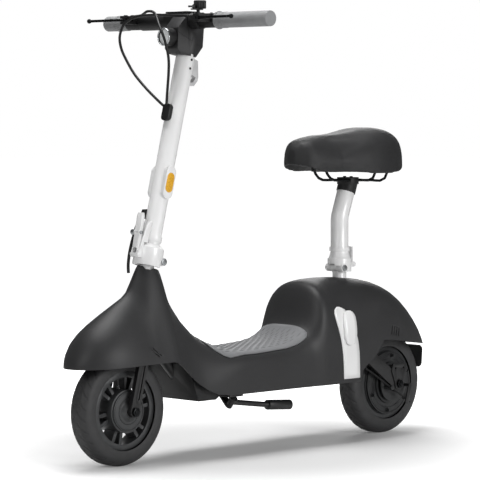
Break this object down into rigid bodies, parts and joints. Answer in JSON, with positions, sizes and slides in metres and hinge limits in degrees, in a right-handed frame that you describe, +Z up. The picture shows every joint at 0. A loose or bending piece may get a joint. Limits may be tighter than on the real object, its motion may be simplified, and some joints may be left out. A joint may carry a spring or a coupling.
{
  "type": "seated electric scooter",
  "caption": "Seated electric scooter with a moulded step-through body, folding stem and folding saddle post.",
  "frame": {"origin": "on the ground under the middle of the length, between the wheels", "axes": "+X forward, +Y to the rider's left, +Z up"},
  "size_m": [1.1645, 0.555, 1.0655],
  "materials": {
    "body_plastic": "fine satin grain",
    "frame_paint": "satin black paint",
    "tray_plastic": "matt",
    "battery_case": "matt",
    "controller_alloy": "cast, ribbed",
    "deck_rubber": "fine grained",
    "white_plastic": "glossy",
    "black_rubber": "matt",
    "red_lens": "glossy",
    "white_paint": "glossy paint",
    "steel": "bright",
    "motor_core": "laminated",
    "dark_alloy": "dark satin paint",
    "white_alloy": "glossy paint",
    "tyre": "matt tread",
    "amber_lens": "glossy",
    "grey_plastic": "matt",
    "black_plastic": "matt",
    "clear_lens": "clear",
    "display_cover": "glossy",
    "grip_rubber": "matt, ribbed",
    "saddle_foam": "fine grained synthetic leather"
  },
  "bodies": {
    "body": {"body_shell": "body_plastic", "main_frame": "frame_paint", "belly_tray": "tray_plastic", "battery_pack": "battery_case", "controller_box": "controller_alloy", "deck_mat": "deck_rubber", "side_strips": "white_plastic", "side_pads": "white_plastic", "mud_flap": "black_rubber", "tail_light": "red_lens", "seat_socket": "white_paint", "kickstand_bracket": "frame_paint", "rear_axle": "steel", "motor_stator": "motor_core", "rear_brake_plate": "dark_alloy", "rear_cable": "black_rubber", "head_bearings": "steel"},
    "steering": {"fork": "frame_paint", "steerer_neck": "white_alloy", "front_axle": "steel", "lower_cable": "black_rubber"},
    "front_wheel": {"front_tyre": "tyre", "front_rim": "dark_alloy", "front_bearings": "steel", "front_hub_cap": "dark_alloy"},
    "rear_wheel": {"rear_tyre": "tyre", "rear_rim": "dark_alloy", "motor_covers": "dark_alloy", "rear_bearings": "steel"},
    "stem": {"stem_tube": "white_alloy", "fold_pin": "steel", "latch_bracket": "white_alloy", "reflectors": "amber_lens", "cable_grommets": "grey_plastic", "bag_hook": "controller_alloy", "neck_block": "grey_plastic", "headlight_body": "black_plastic", "headlight_lens": "clear_lens", "bar_tube": "dark_alloy", "bar_housing": "black_plastic", "display": "display_cover", "left_grip": "grip_rubber", "lever_perches": "black_plastic", "upper_cables": "black_rubber", "bell_base": "black_plastic"},
    "seat": {"seat_post": "white_alloy", "seat_pin": "steel", "saddle_clamp": "frame_paint", "saddle_rails": "steel", "saddle_base": "black_plastic", "saddle": "saddle_foam"},
    "stem_latch": {"latch_lever": "white_alloy"},
    "stem_lock": {"lock_button": "steel"},
    "left_lever": {"brake_lever_left": "dark_alloy"},
    "right_lever": {"brake_lever_right": "dark_alloy"},
    "throttle": {"throttle_grip": "grip_rubber"},
    "bell_hammer": {"bell_striker": "black_plastic"},
    "kickstand": {"kickstand_leg": "frame_paint"},
    "seat_catch": {"seat_latch": "white_alloy"},
    "brake_arm": {"rear_brake_arm": "frame_paint"}
  },
  "joints": [
    {"name": "steer", "type": "hinge", "parent": "body", "child": "steering", "pos_m": [0.43369, 0, 0.12601], "axis": [-0.2487, 0, 0.9686], "range_deg": [-35, 35]},
    {"name": "front_wheel_spin", "type": "hinge", "parent": "steering", "child": "front_wheel", "pos_m": [0.4395, 0, 0.1275], "axis": [0, 1, 0], "continuous": true},
    {"name": "rear_wheel_spin", "type": "hinge", "parent": "body", "child": "rear_wheel", "pos_m": [-0.4455, 0, 0.1275], "axis": [0, 1, 0], "continuous": true},
    {"name": "stem_fold", "type": "hinge", "parent": "steering", "child": "stem", "pos_m": [0.32144, 0, 0.46267], "axis": [0, -1, 0], "range_deg": [0, 36], "deforming": ["lower_cable"]},
    {"name": "stem_latch_turn", "type": "hinge", "parent": "stem", "child": "stem_latch", "pos_m": [0.38326, 0, 0.48164], "axis": [0, 1, 0], "range_deg": [0, 60]},
    {"name": "stem_lock_press", "type": "slide", "parent": "stem_latch", "child": "stem_lock", "axis": [0, -1, 0], "range_m": [0, 0.004], "stiffness_N_per_m": 600, "springref_m": -0.003},
    {"name": "left_lever_pull", "type": "hinge", "parent": "stem", "child": "left_lever", "pos_m": [0.26753, 0.088, 1.02054], "axis": [0, 0, 1], "range_deg": [0, 15], "stiffness_Nm_per_rad": 2, "springref_deg": -11.46},
    {"name": "right_lever_pull", "type": "hinge", "parent": "stem", "child": "right_lever", "pos_m": [0.26753, -0.16, 1.02054], "axis": [0, 0, -1], "range_deg": [0, 15], "stiffness_Nm_per_rad": 2, "springref_deg": -11.46},
    {"name": "throttle_twist", "type": "hinge", "parent": "stem", "child": "throttle", "pos_m": [0.22053, -0.236, 1.01854], "axis": [0, -1, 0], "range_deg": [0, 60], "stiffness_Nm_per_rad": 0.3, "springref_deg": -17.19},
    {"name": "bell_flick", "type": "hinge", "parent": "stem", "child": "bell_hammer", "pos_m": [0.24253, 0.046, 1.04854], "axis": [0, 0, 1], "range_deg": [0, 25], "stiffness_Nm_per_rad": 0.05, "springref_deg": -17.19},
    {"name": "kickstand_turn", "type": "hinge", "parent": "body", "child": "kickstand", "pos_m": [0.1515, 0.076, 0.13], "axis": [0, -0.7193, -0.6947], "range_deg": [0, 108]},
    {"name": "seat_fold", "type": "hinge", "parent": "body", "child": "seat", "pos_m": [-0.2875, 0, 0.423], "axis": [0, 1, 0], "range_deg": [0, 86]},
    {"name": "seat_catch_turn", "type": "hinge", "parent": "seat", "child": "seat_catch", "pos_m": [-0.3355, 0, 0.43], "axis": [0, -1, 0], "range_deg": [0, 70]},
    {"name": "brake_arm_turn", "type": "hinge", "parent": "body", "child": "brake_arm", "pos_m": [-0.4795, 0.06, 0.1215], "axis": [0, -1, 0], "range_deg": [0, 15]}
  ],
  "couplings": [
    {"joint": "brake_arm_turn", "follows": "left_lever_pull", "ratio": 1}
  ]
}
